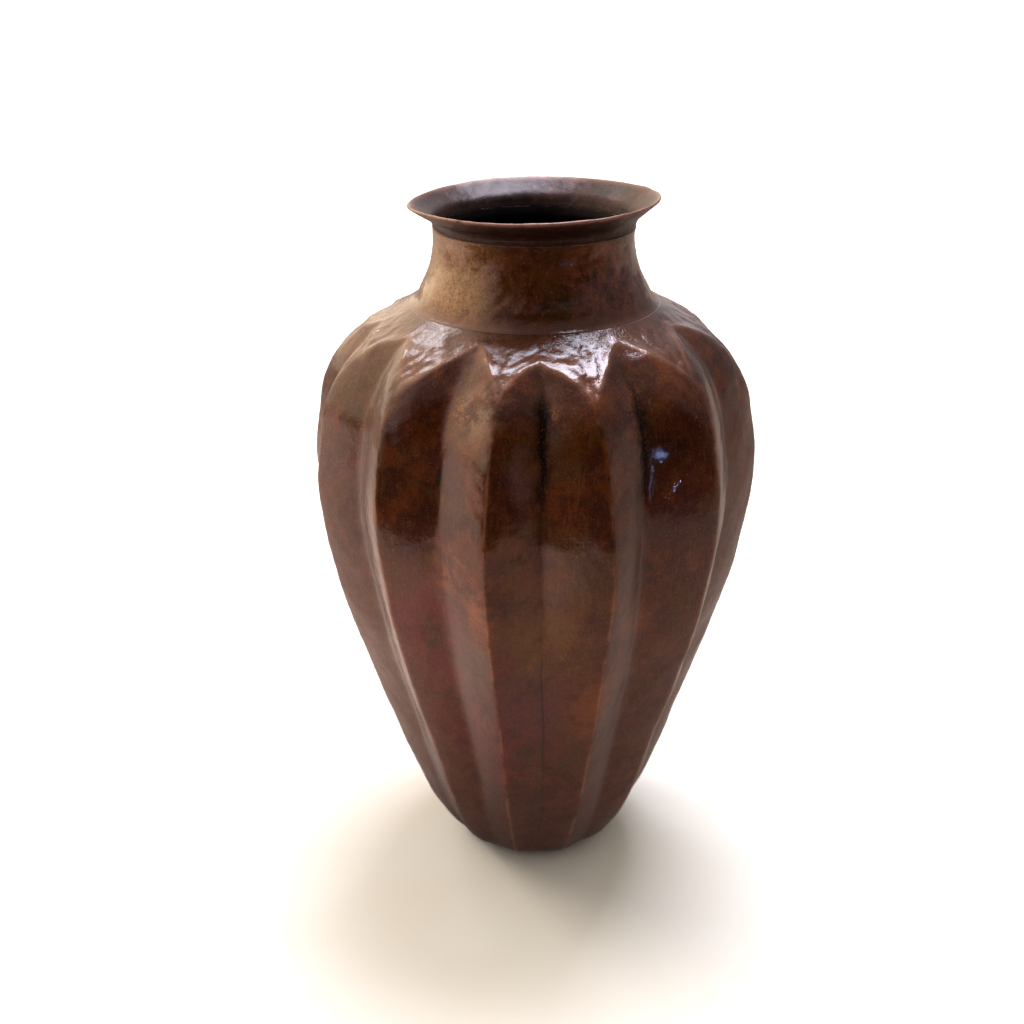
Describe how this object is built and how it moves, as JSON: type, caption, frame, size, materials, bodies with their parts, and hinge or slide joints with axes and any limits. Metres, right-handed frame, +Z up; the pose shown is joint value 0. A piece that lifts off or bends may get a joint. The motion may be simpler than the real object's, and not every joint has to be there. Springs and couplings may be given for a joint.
{
  "type": "fluted copper vase",
  "caption": "Free-standing hammered copper vase: a V-fluted shouldered body, hollow-curved neck, flared lip and flat soldered-in bottom.",
  "frame": {"origin": "centre of the foot's flat underside", "axes": "+Z up along the vase's axis; the side seam lies in the valley that faces -Y"},
  "size_m": [0.1588, 0.1568, 0.254],
  "materials": {
    "body_patina": "hammered copper with a dark brown and purple patina under clear lacquer",
    "neck_patina": "hammered copper with an amber to olive brown patina under clear lacquer",
    "lip_copper": "copper with a mauve brown patina, rubbed bright along the edge",
    "bottom_copper": "planished copper, scuffed on the underside",
    "solder": "darkened hard solder"
  },
  "bodies": {
    "root": {"fluted_body": "body_patina", "neck_collar": "neck_patina", "lip_flange": "lip_copper", "base_disc": "bottom_copper", "side_seam_solder": "solder", "neck_solder_fillet": "solder", "lip_solder_bead": "solder", "base_solder_fillet": "solder"}
  },
  "joints": []
}
